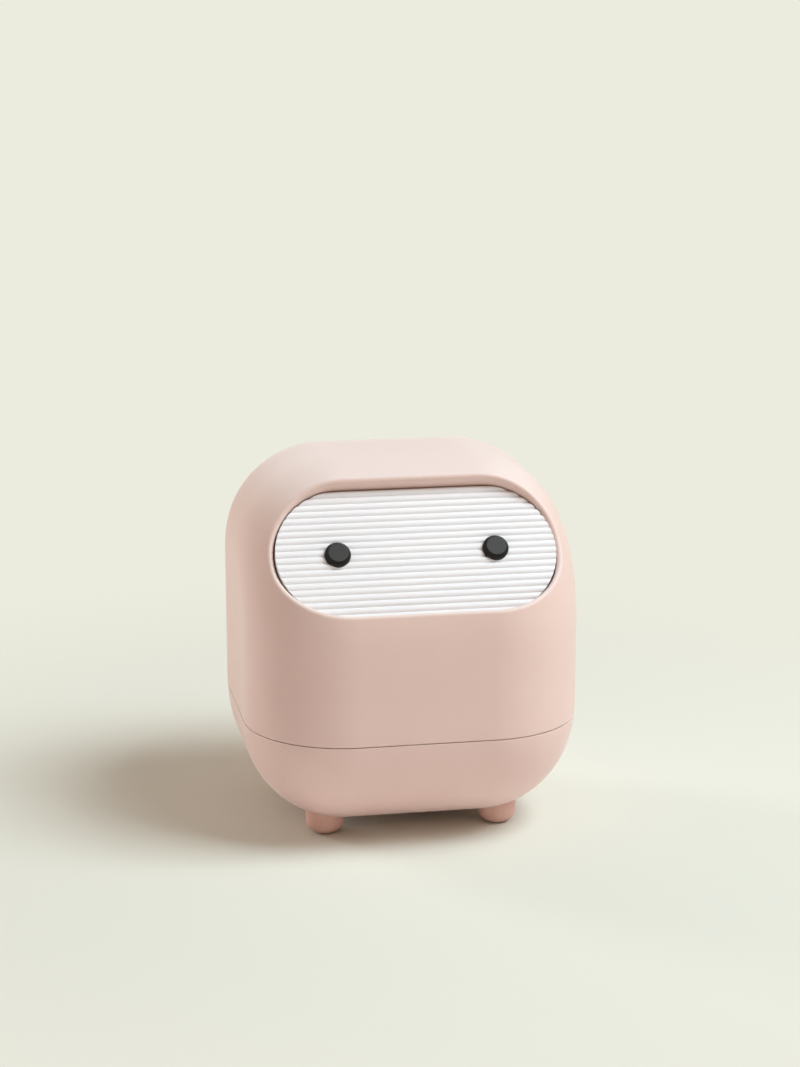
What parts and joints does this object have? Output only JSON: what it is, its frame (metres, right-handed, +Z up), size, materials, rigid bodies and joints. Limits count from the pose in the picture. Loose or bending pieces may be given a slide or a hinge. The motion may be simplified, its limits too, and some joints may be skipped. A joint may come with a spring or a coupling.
{
  "type": "desktop trash can",
  "caption": "Small rounded desktop bin with a lift-off upper shell, a liner bucket and a sprung ribbed swing flap with button eyes in a sloping mouth, on stub feet.",
  "frame": {"origin": "on the floor under the middle of the bin's bounding box", "axes": "+Z up, the mouth and its flap face -Y, and +X is to the right as seen from in front of the mouth"},
  "size_m": [0.14, 0.139, 0.155],
  "materials": {
    "casing": "fine satin moulded, pale pink",
    "feet": "soft matt, darker pink",
    "liner": "satin moulded, off white",
    "flap": "satin moulded, white, ribbed",
    "eyes": "satin moulded, near black",
    "steel": "bright zinc plated",
    "spring_steel": "drawn wire",
    "bracket": "satin moulded, white",
    "bumper": "soft matt grey"
  },
  "bodies": {
    "base": {"base_bowl": "casing", "foot_front_left": "feet", "foot_front_right": "feet", "foot_rear_left": "feet", "foot_rear_right": "feet", "foot_screws": "steel"},
    "shell": {"upper_shell": "casing", "hinge_bracket_left": "bracket", "hinge_bracket_right": "bracket", "bracket_screws": "steel", "hinge_rod": "steel", "return_spring_left": "spring_steel", "return_spring_right": "spring_steel", "flap_bumper_left": "bumper", "flap_bumper_right": "bumper"},
    "flap": {"ribbed_flap": "flap", "eye_left": "eyes", "eye_right": "eyes", "eye_washers": "steel"},
    "bucket": {"inner_bucket": "liner"}
  },
  "joints": [
    {"name": "shell_lift", "type": "slide", "parent": "base", "child": "shell", "axis": [0, 0, 1], "range_m": [0, 0.14]},
    {"name": "flap_swing", "type": "hinge", "parent": "shell", "child": "flap", "pos_m": [0, -0.02135, 0.13531], "axis": [1, 0, 0], "range_deg": [0, 65], "stiffness_Nm_per_rad": 0.02, "springref_deg": -28.65, "deforming": ["return_spring_left", "return_spring_right"]},
    {"name": "bucket_lift", "type": "slide", "parent": "base", "child": "bucket", "axis": [0, 0, 1], "range_m": [0, 0.07]}
  ],
  "couplings": [
    {"joint": "bucket_lift", "follows": "shell_lift", "ratio": 0.5}
  ]
}
